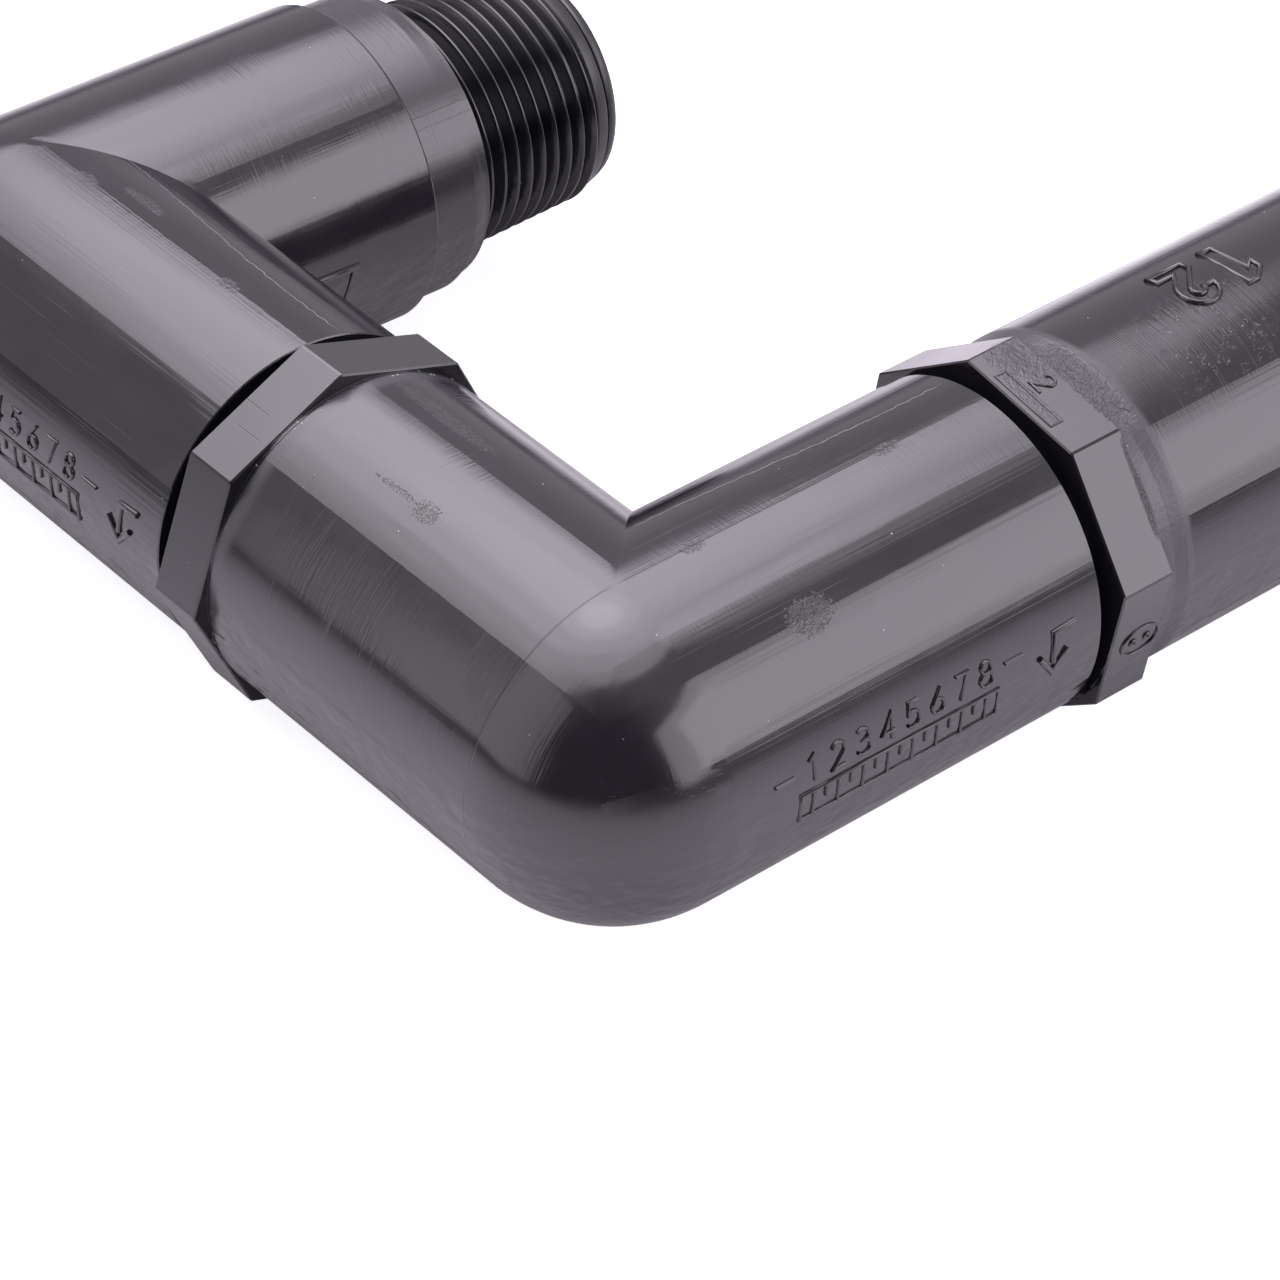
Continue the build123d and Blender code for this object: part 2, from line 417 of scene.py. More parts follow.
def make_line_group():
    """A fine line where a distance is nought, such as a parting line."""
    tree, g, given, out = new_group(
        "Fine Line", {"Distance": 1.0, "Half width": 0.1, "Sway": 0.0, "Wander": 0.0}, ("Mask",))
    share = g.math("DIVIDE", g.math("ABSOLUTE", wandered(g, given)), given["Half width"])
    g.put(out["Mask"], g.ramp(share, 0.35, 1.0, 1.0, 0.0))
    return tree


def make_kink_group():
    """A shallow ridge with a sharp top, as two mould halves leave: light breaks off along it."""
    tree, g, given, out = new_group(
        "Mould Kink", {"Distance": 1.0, "Reach": 2.0, "Sway": 0.0, "Wander": 0.0}, ("Height",))
    share = g.math("DIVIDE", g.math("ABSOLUTE", wandered(g, given)), given["Reach"])
    inside = g.math("SUBTRACT", 1.0, g.math("MINIMUM", share, 1.0))
    g.put(out["Height"], g.times(inside, inside))
    return tree


def make_window_group():
    """A soft-edged window over a span along the leg and a span round it."""
    tree, g, given, out = new_group(
        "Leg Window",
        {"Along": 0.0, "Along from": 0.0, "Along to": 1.0, "Soft along": 0.5,
         "Angle": 0.0, "Angle from": 0.0, "Angle to": 1.0, "Soft angle": 2.0},
        ("Mask",))
    masks = []
    for way in ("Along", "Angle"):
        from_low = g.math("SUBTRACT", given[way], given[way + " from"])
        from_high = g.math("SUBTRACT", given[way + " to"], given[way])
        inside = g.math("MINIMUM", from_low, from_high)
        masks.append(g.ramp(g.math("DIVIDE", inside, given["Soft " + way.lower()]), -1.0, 1.0))
    g.put(out["Mask"], g.times(*masks))
    return tree


def make_pit_group():
    """A cluster of fine dark pits with a ragged edge, as a knock or a gate leaves."""
    tree, g, given, out = new_group(
        "Pitted Spot",
        {"Leg": None, "Along": 0.0, "Angle": 0.0, "Spot along": 0.0, "Spot angle": 0.0,
         "Half length": 1.0, "Half width": 1.0},
        ("Mask", "Haze", "Grain"))
    across = g.times(g.math("SUBTRACT", given["Angle"], given["Spot angle"]), MM_PER_DEGREE)
    over = g.math("SUBTRACT", given["Along"], given["Spot along"])
    reach = g.vector("LENGTH", g.join(g.math("DIVIDE", over, given["Half length"]),
                                      g.math("DIVIDE", across, given["Half width"]), 0.0))
    grain = g.centred(g.noise(given["Leg"], 1.4, detail=3.0, roughness=0.7))
    ragged = g.math("ADD", reach, g.times(grain, 1.3))
    haze = g.ramp(ragged, 0.55, 1.15, 1.0, 0.0)
    fine = g.noise(given["Leg"], 3.6, detail=0.0)
    pit = g.ramp(g.math("SUBTRACT", fine, g.times(reach, 0.07)), 0.44, 0.56)
    g.put(out["Haze"], haze)
    g.put(out["Grain"], grain)
    g.put(out["Mask"], g.times(pit, haze, 0.8))
    return tree


def make_speck_group():
    """Fine pale specks, such as flash crumbs along an edge; kept where the window is."""
    tree, g, given, out = new_group(
        "Edge Specks", {"Leg": None, "Window": 0.0, "Share": 0.5}, ("Mask",))
    near, colour = g.cells(given["Leg"], 1.5)
    size, chance, _ = g.split(colour)
    speck = g.math("LESS_THAN", near, g.times(size, 0.27))
    kept = g.math("LESS_THAN", chance, given["Share"])
    g.put(out["Mask"], g.times(speck, kept, given["Window"]))
    return tree


GROUP_MAKERS = {
    "Leg Coordinates": make_leg_group,
    "Moulded Skin": make_skin_group,
    "Fine Line": make_line_group,
    "Mould Kink": make_kink_group,
    "Leg Window": make_window_group,
    "Pitted Spot": make_pit_group,
    "Edge Specks": make_speck_group,
}


def shared_group(name):
    """The named node group, built the first time that it is asked for."""
    return bpy.data.node_groups.get(name) or GROUP_MAKERS[name]()


# Materials
class Leg:
    """One leg of a moulding: where a point lies on it, in mm and degrees, and masks on its surface."""

    def __init__(self, g, way):
        self.g = g
        out = g.group("Leg Coordinates", leg=way)
        self.along, self.angle, self.radius = out["Along"], out["Angle"], out["Radius"]

    def window(self, span, turn, soft):
        """Full within a span along the leg and a span of turn, with soft edges for each."""
        return self.g.group("Leg Window", along=self.along, along_from=span[0], along_to=span[1],
                            soft_along=soft[0], angle=self.angle, angle_from=turn[0],
                            angle_to=turn[1], soft_angle=soft[1])["Mask"]

    def round_from(self, turn):
        """Distance round the leg from a given turn, in mm."""
        return self.g.times(self.g.math("SUBTRACT", self.angle, turn), MM_PER_DEGREE)

    def on_barrel(self, elsewhere=0.0):
        """Full on the round barrel, and a given share on the wrench collar's flats."""
        radius = LEG_RADIUS / MM
        return self.g.ramp(self.radius, radius + 0.05, radius + 0.25, 1.0, elsewhere)


class PvcMaterial:
    """Collects colour, roughness and height over one moulding, in mm, then closes the material."""

    def __init__(self, name, moulding, settings):
        self.material = bpy.data.materials.new(name)
        self.material.use_nodes = True
        tree = self.material.node_tree
        tree.nodes.clear()
        g = Graph(tree)
        self.g = g
        self.settings = settings
        self.heights, self.scuffs, self.darks, self.dusts = [], [], [], []
        centre, turn = PLACES[moulding]
        place = g.node("Mapping", g.node("TexCoord").outputs["Object"], centre, turn)
        place.vector_type = "TEXTURE"
        x, y, z = g.split(g.vector("SCALE", place.outputs[0], scale=1 / MM))
        socket_way = g.join(x, g.times(y, -1.0), z)
        other_way = g.join(y, x, z)
        from_mitre = g.math("SUBTRACT", y, x)
        self.on_other = g.ramp(from_mitre, -0.05, 0.05)
        self.off_mitre = g.ramp(g.math("ABSOLUTE", from_mitre), 0.05, 1.6)
        self.way = g.mix("VECTOR", self.on_other, socket_way, other_way)
        self.socket_leg = Leg(g, socket_way)
        self.other_leg = Leg(g, other_way)
        self.sway = g.centred(g.noise(self.way, (0.5, 0.25, 0.25), detail=3.0, roughness=0.62))

    def skin(self, seed, hatch, streak, long_share=(0.0, 0.0), smooth=1.0, peel=1.0):
        """The shared skin on both legs; each pair holds the socket leg's value and the other leg's."""
        g, s = self.g, self.settings
        marks = {}
        for name, full, pair in (("hatch", s.hatch, hatch), ("streak", s.streak, streak),
                                 ("long_share", 1.0, long_share), ("seed", 1.0, (seed, seed + 3.0))):
            marks[name] = g.lerp(self.on_other, pair[0] * full, pair[1] * full)
        out = g.group("Moulded Skin", leg=self.way, angle=Leg(g, self.way).angle,
                      peel=s.peel * peel, **marks)
        self.heights.append(g.times(out["Height"], smooth))
        self.dusts.append(out["Dust"])
        self.scuffs.append(g.times(out["Scratch"], smooth, 0.5))
        return out["Cloud"]

    def line(self, distance, half_width, depth, window, wander=0.0, dark=0.0, pale=0.0):
        """A fine line in relief where a distance is nought; below nought it is a groove."""
        g = self.g
        out = g.group("Fine Line", distance=distance, half_width=half_width, sway=self.sway,
                      wander=wander)
        mask = g.times(out["Mask"], window)
        self.heights.append(g.times(mask, depth))
        if dark:
            self.darks.append(g.times(mask, dark))
        if pale:
            self.dusts.append(g.times(mask, pale))

    def dull(self, window, share):
        """Takes the gloss off within a window."""
        self.scuffs.append(self.g.times(window, share))

    def kink(self, distance, reach, rise, wander, window=1.0):
        """Tilts the skin away from a line on both sides, so that a highlight stops there."""
        out = self.g.group("Mould Kink", distance=distance, reach=reach, sway=self.sway, wander=wander)
        self.heights.append(self.g.times(out["Height"], window, rise))

    def pits(self, leg, at, turn, half_length, half_width, share):
        """A pitted spot: dark pits in a slightly dull haze."""
        g = self.g
        out = g.group("Pitted Spot", leg=self.way, along=leg.along, angle=leg.angle, spot_along=at,
                      spot_angle=turn, half_length=half_length, half_width=half_width)
        mask = g.times(out["Mask"], share)
        haze = g.times(out["Haze"], share)
        self.darks.append(mask)
        self.scuffs.append(g.times(haze, 0.4))
        self.heights.append(g.times(out["Grain"], haze, 2 * PIT_DEPTH))
        self.heights.append(g.times(mask, -PIT_DEPTH))

    def specks(self, window, share):
        """Pale crumbs and fine flash within a window."""
        out = self.g.group("Edge Specks", leg=self.way, window=window, share=share)
        self.dusts.append(out["Mask"])

    def torn(self, window, depth, scale=1.6):
        """Rough, torn skin within a window, as at a trimmed gate."""
        g = self.g
        grain = g.noise(self.way, scale, detail=3.0, roughness=0.75)
        self.heights.append(g.times(g.centred(grain), window, depth))
        self.scuffs.append(g.times(window, 0.3))

    def finish(self, cloud, gloss=None, shade=1.0):
        """Joins all that was collected into one shader, and gives back the material."""
        g, s = self.g, self.settings
        gloss = s.gloss if gloss is None else gloss
        shader = g.node("BsdfPrincipled")
        g.node("OutputMaterial", shader.outputs[0])
        shader.inputs["IOR"].default_value = PVC_IOR
        scuff = g.math("MINIMUM", g.total(self.scuffs), 1.0)
        dark = g.math("MINIMUM", g.total(self.darks), 1.0)
        dust = g.math("MINIMUM", g.total(self.dusts), 1.0)
        tone = g.ramp(cloud, 0.25, 0.75)
        # shade scales the PVC colour; below 1 it is painted shade, as on the threads
        clean = g.blend(tone, rgba(s.colour, DARK_TONE * shade), rgba(s.colour, PALE_TONE * shade))
        worn = g.blend(g.times(scuff, 0.6), clean, rgba(s.worn_colour))
        # The darks are pits and dark seams, plus painted shade in the middle elbow's collar crease
        lined = g.blend(g.times(dark, 0.8), worn, rgba(s.colour, PIT_LINE_AND_SHADE_TONE))
        g.put(shader.inputs["Base Color"], g.blend(dust, lined, rgba(s.dust_colour)))
        rough = g.ramp(cloud, 0.3, 0.75, gloss - 0.02, gloss + 0.035)
        rough = g.lerp(scuff, rough, s.scuff_gloss)
        g.put(shader.inputs["Roughness"], g.lerp(dust, rough, DUST_ROUGHNESS))
        g.bump(shader, g.times(g.total(self.heights), self.off_mitre), MM)
        return self.material


def socket_leg_features(m, kinks, spot):
    """Parting line, breaks in the highlight, bent scratch and pitted spots on a socket leg."""
    g, leg = m.g, m.socket_leg
    share = g.math("SUBTRACT", 1.0, m.on_other)
    parting = leg.round_from(kinks[0])
    top = leg.window((1.0, SOCKET_LEG / MM - 0.5), (-16.0, 18.0), soft=(1.0, 2.0))
    m.line(parting, half_width=0.16, depth=0.014, window=g.times(top, share), wander=0.35)
    m.kink(parting, reach=2.6, rise=0.055, window=share, wander=0.5)
    for turn in kinks[1:]:
        m.kink(leg.round_from(turn), reach=2.0, rise=0.035, window=share, wander=0.15)
    bend = g.ramp(leg.along, 8.0, 46.0, -23.0, -15.5)
    middle = leg.window((9.0, 53.0), (-40.0, 0.0), soft=(2.0, 4.0))
    m.line(leg.round_from(bend), half_width=0.09, depth=-0.02, window=g.times(share, middle),
           wander=1.2, pale=0.30)
    for at, turn, half_length, half_width in (spot, (11.0, kinks[0], 1.8, 0.9), (39.5, kinks[0], 1.8, 0.9)):
        m.pits(leg, at, turn, half_length, half_width, share)


def pipe_elbow_material(name, moulding, seed, settings):
    """PVC of an elbow with a pipe leg: both legs' skins and its parting lines."""
    m = PvcMaterial(name, moulding, settings)
    g, leg = m.g, m.other_leg
    cloud = m.skin(seed, hatch=(0.5, 1.6), streak=(1.3, 0.5), long_share=(1.0, 0.0))
    socket_leg_features(m, kinks=(-1.5, 33.5, 64.0), spot=(19.0, -9.0, 4.0, 0.9))
    m.dull(leg.window((46.7, 57.0), ALL_ROUND, soft=(0.3, 1.0)), 0.5)
    collar = leg.window((46.9, 55.9), (20.0, 70.0), soft=(0.1, 2.0))
    m.line(leg.round_from(47.4), half_width=0.13, depth=-0.035, window=collar, dark=0.5)
    m.line(leg.round_from(51.6), half_width=0.09, depth=-0.012, window=collar, wander=0.3, dark=0.2)
    barrel = g.times(m.on_other, g.ramp(leg.along, 46.0, 44.0))
    m.kink(leg.round_from(-1.0), reach=2.2, rise=0.04, window=barrel, wander=0.3)
    m.kink(leg.round_from(39.5), reach=1.8, rise=0.03, window=barrel, wander=0.2)
    return m.finish(cloud)


def thread_material(name, moulding, seed, settings, gloss):
    """The same PVC on the thread, with its end parting line; its colour is painted darker than the polished
    legs' as shade between the ridges and at the tip.
    """
    m = PvcMaterial(name, moulding, settings)
    leg = m.other_leg
    cloud = m.skin(seed, hatch=(0.1, 0.1), streak=(0.0, 0.0), peel=0.3)
    tip = leg.window((77.3, 79.4), (20.0, 70.0), soft=(0.1, 2.0))
    m.line(leg.round_from(46.6), half_width=0.13, depth=-0.03, window=tip, dark=0.5)
    # Painted shade: shade=0.30 darkens the colour of the ridge, band and rim, standing in for the shade
    # between the ridges and at the tip
    return m.finish(cloud, gloss, shade=0.30)


def middle_elbow_material(name, moulding, seed, settings):
    """PVC of the elbow with two swivels: its seam ring, pitted spots and collar crumbs."""
    m = PvcMaterial(name, moulding, settings)
    g, leg = m.g, m.other_leg
    smooth = g.lerp(m.on_other, 1.0, leg.on_barrel(elsewhere=0.2))
    cloud = m.skin(seed, hatch=(0.7, 1.2), streak=(1.1, 0.45), long_share=(1.0, 0.0), smooth=smooth)
    socket_leg_features(m, kinks=(0.5, 24.0, 38.5, 64.0), spot=(16.9, 38.2, 3.2, 2.3))
    ring = leg.window((-0.6, 0.6), (-170.0, 70.0), soft=(0.1, 4.0))
    m.line(leg.along, half_width=0.11, depth=-0.03, window=ring, dark=0.35)
    for at, turn, half_length, half_width in ((24.5, -19.4, 2.1, 1.6), (29.5, -19.0, 4.2, 0.5),
                                              (36.0, 14.0, 8.5, 1.3)):
        m.pits(leg, at, turn, half_length, half_width, m.on_other)
    barrel = g.times(m.on_other, leg.on_barrel())
    root = COLLAR_LEG / MM
    # Where the barrel meets the wrench collar: a shallow groove, darkened with painted shade in that crease
    m.line(g.math("SUBTRACT", leg.along, root - 0.2), half_width=0.28, depth=-0.04, window=barrel,
           dark=0.6)
    m.dull(g.times(leg.window((root - 2.2, root), ALL_ROUND, soft=(1.0, 1.0)), barrel), 0.75)
    for turn, span in ((-25.5, (50.6, 55.0)), (-33.5, (48.9, 52.9))):
        across = leg.window(span, (turn - 4, turn + 4), soft=(0.2, 2.0))
        m.line(leg.round_from(turn), half_width=0.09, depth=-0.02, window=across, dark=0.35)
    edge = leg.window((root - 0.8, root - 0.1), (-120.0, 120.0), soft=(0.3, 8.0))
    m.specks(g.times(edge, barrel), 0.7)
    m.kink(leg.round_from(-36.5), reach=2.2, rise=0.045, window=barrel, wander=0.2)
    m.kink(leg.round_from(5.5), reach=1.8, rise=0.03, window=barrel, wander=0.2)
    return m.finish(cloud)


def arm_material(name, moulding, seed, settings):
    """PVC of the lay arm: parting lines, blisters, rough neck and the scars on its collar."""
    m = PvcMaterial(name, moulding, settings)
    g, leg = m.g, m.socket_leg
    cloud = m.skin(seed, hatch=(1.0, 1.0), streak=(0.8, 0.8), smooth=leg.on_barrel(elsewhere=0.2),
                   peel=1.25)
    face = (SOCKET_LEG + SWIVEL_GAP) / MM
    neck = face + OCTAGON_WIDTH / MM
    far_neck = LAY_LENGTH / MM - neck
    for turn in (88.0, -92.0):
        side = leg.window((neck + 0.3, far_neck - 0.3), (turn - 10, turn + 10), soft=(0.1, 2.0))
        m.line(leg.round_from(turn), half_width=0.13, depth=-0.03, window=side, wander=0.1, dark=0.5)
    blisters = leg.window((79.0, 93.0), (4.0, 29.0), soft=(5.0, 7.0))
    film = g.noise(m.way, 1.1, detail=2.5, roughness=0.6, distortion=0.6)
    contour = g.ramp(g.math("ABSOLUTE", g.math("SUBTRACT", film, 0.54)), 0.007, 0.018, 1.0, 0.0)
    broken = g.ramp(g.noise(m.way, 0.75, detail=1.0), 0.50, 0.58)
    squiggles = g.times(contour, broken, blisters)
    m.heights.append(g.times(squiggles, 0.10))
    m.dusts.append(g.times(squiggles, 0.30))
    mesh_zone = leg.window((68.5, 79.0), (0.0, 34.0), soft=(2.5, 5.0))
    arc_mm = leg.round_from(0.0)
    crossed = [g.math("SINE", g.times(g.math(sum_or_rest, leg.along, arc_mm), 9.5))
               for sum_or_rest in ("ADD", "SUBTRACT")]
    m.heights.append(g.times(*crossed, mesh_zone, 0.005))
    m.dull(leg.window((neck, neck + 5.2), ALL_ROUND, soft=(0.6, 1.0)), 1.0)
    m.torn(leg.window((neck, neck + 5.0), ALL_ROUND, soft=(0.8, 1.0)), 0.10, scale=1.1)
    m.torn(leg.window((neck + 0.3, neck + 4.2), (-9.0, 30.0), soft=(0.8, 6.0)), 0.55, scale=1.1)
    for span, turn, soft, depth in (
            ((neck - 3.6, neck - 0.2), (-13.0, 6.0), (1.2, 6.0), 0.20),
            ((face + 2.0, face + 6.0), (-12.0, -1.0), (0.8, 3.0), 0.16),
            ((neck - 0.7, neck + 0.8), (36.0, 66.0), (0.3, 4.0), 0.50),
            ((face + 1.3, face + 3.0), (-3.0, 22.0), (0.2, 1.0), 0.08)):
        m.torn(leg.window(span, turn, soft), depth)
    m.kink(leg.round_from(66.0), reach=2.4, rise=0.04, wander=0.2)
    m.kink(leg.round_from(35.0), reach=2.0, rise=0.035, wander=0.3)
    m.specks(leg.window((neck - 0.2, neck + 1.3), (30.0, 70.0), soft=(0.3, 5.0)), 0.55)
    return m.finish(cloud)


def rubber_material(settings):
    """Black rubber of the O-rings, with a faint moulded texture."""
    material = bpy.data.materials.new("seal_rubber_finish")
    material.use_nodes = True
    shader = material.node_tree.nodes["Principled BSDF"]
    g = Graph(material.node_tree)
    grain = g.noise(g.node("TexCoord").outputs["Object"], 900.0, detail=3.0)
    g.put(shader.inputs["Base Color"],
          g.blend(grain, rgba(settings.rubber, 0.8), rgba(settings.rubber, 1.6)))
    g.put(shader.inputs["Roughness"], g.ramp(grain, 0.2, 0.8, 0.42, 0.6))
    g.bump(shader, grain, 0.02 * MM)
    return material


# Mesh helpers
def place_matrix(moulding):
    centre, turn = PLACES[moulding]
    return Matrix.Translation(centre) @ Euler(turn, "XYZ").to_matrix().to_4x4()


def leg_point(matrix, other, along, angle, radius):
    """A point on a leg, by distance along it, turn from the moulding's Z and radius."""
    side, up = radius * math.sin(angle), radius * math.cos(angle)
    local = Vector((side, along, up)) if other else Vector((along, -side, up))
    return matrix @ local


def leg_surface(moulding, other=False, top=0.0):
    """A function that lays flat points on a leg, u along it and v round it from a given turn."""
    matrix = place_matrix(moulding)

    def to_surface(u, v, height):
        angle = math.radians(top) + v / LEG_RADIUS
        return leg_point(matrix, other, u, angle, LEG_RADIUS + height)

    return to_surface


def ring_faces(size, count, closed, first=0, flipped=False):
    """Faces between rings of points, each of one size; closed joins the last ring to the first."""
    faces = []
    for i in range(count if closed else count - 1):
        a, b = first + i * size, first + (i + 1) % count * size
        for k in range(size - 1):
            face = (a + k, b + k, b + k + 1, a + k + 1) if flipped else (a + k, a + k + 1, b + k + 1, b + k)
            faces.append(face)
    return faces


def new_piece(name, points, faces, moulding, smooth_angle=60.0, finish=None):
    """A mesh object in the moulding's finish, or in a given one, riding on its body."""
    mesh = bpy.data.meshes.new(name)
    mesh.from_pydata([tuple(p) for p in points], [], faces)
    mesh.validate()
    piece = bpy.data.objects.new(name, mesh)
    bpy.context.scene.collection.objects.link(piece)
    mesh.materials.append(finish or bpy.data.materials[FINISHES[moulding]])
    mesh.shade_smooth()
    mesh.set_sharp_from_angle(angle=math.radians(smooth_angle))
    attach(piece, moulding)


def rib_section():
    """Points across a rib with a flat crown, as shares of its width and of its rise."""
    half = RIB_CROWN / 2
    side = []
    for degrees in (90, 60, 30, 0):
        turn = math.radians(degrees)
        side.append((half + (0.5 - half) * math.sin(turn), (1 + RIB_SUNK) * math.cos(turn) - RIB_SUNK))
    return [(-share, height) for share, height in side] + side[::-1]


def ribs(lines, to_surface, width, rise):
    """Raised ribs along flat polylines, laid on a surface; each line says whether it is closed."""
    section = rib_section()
    size = len(section)
    points, faces = [], []
    for line, closed in lines:
        first, count = len(points), len(line)
        for i, here in enumerate(line):
            before = line[i - 1] if i or closed else here
            after = line[(i + 1) % count] if i < count - 1 or closed else here
            incoming = Vector(here) - Vector(before)
            outgoing = Vector(after) - Vector(here)
            incoming = incoming.normalized() if incoming.length else outgoing.normalized()
            outgoing = outgoing.normalized() if outgoing.length else incoming
            ahead = (incoming + outgoing).normalized()
            across = Vector((-ahead.y, ahead.x))
            widen = 1 / max(LEAST_MITRE, ahead.dot(outgoing))
            for share, height in section:
                flat = Vector(here) + across * (share * width * widen)
                points.append(to_surface(flat.x, flat.y, height * rise))
        faces += ring_faces(size, count, closed, first, flipped=True)
        if not closed:
            last = first + (count - 1) * size
            faces.append(tuple(range(first, first + size)))
            faces.append(tuple(reversed(range(last, last + size))))
    return points, faces


def raise_marks(name, moulding, lines, to_surface, width, rise):
    """A piece of raised ribs in the moulding's own finish."""
    points, faces = ribs(lines, to_surface, width, rise)
    new_piece(name, points, faces, moulding)


def arc(centre, radii, start, end, steps):
    """Points on part of an ellipse, angles in degrees."""
    turns = [math.radians(start + (end - start) * i / steps) for i in range(steps + 1)]
    return [(centre[0] + radii[0] * math.cos(turn), centre[1] + radii[1] * math.sin(turn)) for turn in turns]


def bearing(azimuth, elevation):
    """Unit vector at a bearing counted from -Y towards +X, and an elevation, in degrees."""
    a, e = math.radians(azimuth), math.radians(elevation)
    return Vector((math.sin(a) * math.cos(e), -math.cos(a) * math.cos(e), math.sin(e)))


# A rib's flat crown as a share of its width, its depth in the surface as a share of its rise,
# and the cosine down to which its corners are mitred
RIB_CROWN = 0.20
RIB_SUNK = 0.35
LEAST_MITRE = 0.5

# Plain numerals as pen strokes in a box 0.6 wide and 1 high
NUMERALS = {
    "1": [[(0.12, 0.80), (0.34, 1.0), (0.34, 0.0)]],
    "2": [arc((0.3, 0.73), (0.27, 0.27), 165, -35, 9) + [(0.03, 0.0), (0.58, 0.0)]],
    "3": [arc((0.28, 0.76), (0.26, 0.24), 150, -90, 9) + arc((0.28, 0.27), (0.30, 0.27), 90, -150, 9)[1:]],
    "4": [[(0.44, 0.0), (0.44, 1.0), (0.02, 0.30), (0.60, 0.30)]],
    "5": [[(0.54, 1.0), (0.12, 1.0), (0.08, 0.56)] + arc((0.28, 0.32), (0.30, 0.32), 120, -140, 9)],
    "6": [[(0.46, 1.0), (0.12, 0.50)] + arc((0.30, 0.29), (0.27, 0.29), 150, -210, 14)],
    "7": [[(0.04, 1.0), (0.57, 1.0), (0.22, 0.0)]],
    "8": [arc((0.3, 0.76), (0.23, 0.24), -90, 270, 14), arc((0.3, 0.27), (0.28, 0.27), 90, 450, 14)],
}

# Outlines of two block numerals in a box 0.62 wide and 1 high
BLOCK_ONE = [(0.20, 0.0), (0.42, 0.0), (0.42, 1.0), (0.24, 1.0), (0.04, 0.84), (0.04, 0.62), (0.20, 0.74)]
BLOCK_TWO = (
    [(0.0, 0.0), (0.62, 0.0), (0.62, 0.20), (0.30, 0.20)]
    + arc((0.31, 0.69), (0.31, 0.31), -45, 180, 10)
    + arc((0.31, 0.69), (0.11, 0.11), 180, -40, 6)
    + [(0.0, 0.20)]
)

# Where the block numerals' feet are round the arm, in degrees, and their right edges along it
BLOCK_TURN = -15.0
BLOCK_NUMERALS = ((BLOCK_ONE, 98.4 * MM), (BLOCK_TWO, 91.6 * MM))

SLOTS = {
    "inlet_elbow": "inlet_pvc",
    "lay_arm": "arm_pvc",
    "middle_elbow": "middle_pvc",
    "outlet_elbow": "outlet_pvc",
}
FINISHES = {name: slot + "_finish" for name, slot in SLOTS.items()}

# Each moulding's finish, and the seed of its own pattern of marks
FINISH_MAKERS = {
    "inlet_elbow": (pipe_elbow_material, 5.0),
    "middle_elbow": (middle_elbow_material, 2.0),
    "outlet_elbow": (pipe_elbow_material, 1.0),
    "lay_arm": (arm_material, 7.0),
}

# The pipe threads: seeds of their marks, and the roughness of their crests and tips
THREAD_SEEDS = {"inlet": 6.0, "outlet": 3.0}
THREAD_GLOSS = 0.21
TIP_GLOSS = 0.42

# The thread's ridge: flank and arc step of its crest in degrees, half its foot as a share of the
# pitch, turns over which it rises and runs out, and how deep it is sunk in core and collar
FLANK_ANGLE = 60
CREST_STEP = 12
HALF_FOOT = 0.48
TURNS_TO_RISE = 0.9
TURNS_TO_RUN_OUT = 0.6
SUNK_IN_CORE = 0.1 * MM
SUNK_IN_COLLAR = 0.3 * MM

# Rings turned at a thread's tip, by distance along the leg and radius, in mm
TIP_RINGS = {
    "band": ((77.2, 14.7), (77.5, 15.3), (77.75, 15.48), (79.15, 15.40), (79.33, 15.3), (79.4, 14.7)),
    "rim": ((79.75, 14.6), (79.80, 14.98), (79.95, 15.06), (80.5, 15.0), (81.05, 14.78),
            (81.35, 14.5), (81.48, 14.1)),
}
RING_SMOOTH_ANGLE = 35.0

# The turn scale: its turn round the leg, how far its numerals stand in, and its dashes and rules
SCALE_TURN = 77.0
SCALE_MARGIN = 5.6 * MM
DASH = 2.8 * MM
RULE_GAP = 1.3 * MM
RULE_FOOT = 5.0 * MM
HALF_TICK = 1.8 * MM

# The strokes of the arrow beside the scale, in mm along and round the leg
ARROW = (
    ((50.6, 0.9), (47.4, 1.1), (47.2, 5.0)),
    ((45.1, 3.6), (47.1, 6.4), (49.4, 3.9)),
)
ARROW_STROKE = 0.85 * MM
ARROW_RISE = 0.42 * MM

# The triangle on a pipe leg: corners by distance along it in mm and turn round it in degrees
TRIANGLE = ((26.4, 87.2), (33.2, 88.0), (31.4, 105.0))
TRIANGLE_STROKE = 1.05 * MM
TRIANGLE_RISE = 0.46 * MM

# Soft boxes: bearing, elevation, half angles across and up, brightness, distance and shape
SOFT_BOXES = {
    "top_box": (-103.0, 70.0, 39.2, 39.2, 2.18, 0.5, "DISK"),
    "top_box_inner": (-107.0, 67.5, 34.0, 34.0, 0.9, 0.5, "DISK"),
    "top_box_middle": (-111.0, 63.5, 27.0, 27.0, 1.0, 0.5, "DISK"),
    "top_box_core": (-115.0, 64.0, 18.0, 18.0, 0.9, 0.5, "DISK"),
    "top_box_peak": (-115.0, 64.5, 10.0, 10.0, 1.3, 0.5, "DISK"),
    "top_box_side": (170.0, 57.0, 9.0, 9.0, 1.1, 0.5, "DISK"),
    "right_box": (121.0, 20.5, 34.0, 24.0, 2.2, 1.6, "RECTANGLE"),
    "right_box_core": (127.0, 24.0, 23.0, 15.0, 1.2, 1.6, "RECTANGLE"),
    "left_box": (-19.0, 23.0, 22.0, 27.0, 0.95, 1.6, "RECTANGLE"),
}

# Half the floor's side, and how far it lies under the part
FLOOR_HALF = 6.0
FLOOR_DROP = 0.1 * MM

# The camera's place in mm from the middle elbow's centre, and its axes, fitted to the photograph
CAMERA_PLACE = Vector((346.755, -292.668, 380.052))
CAMERA_RIGHT = Vector((0.64214925, 0.76648252, 0.01220177))
CAMERA_UP = Vector((-0.48769267, 0.3961986, 0.77793478))

BLACK = (0, 0, 0, 1)
WHITE = (1, 1, 1, 1)


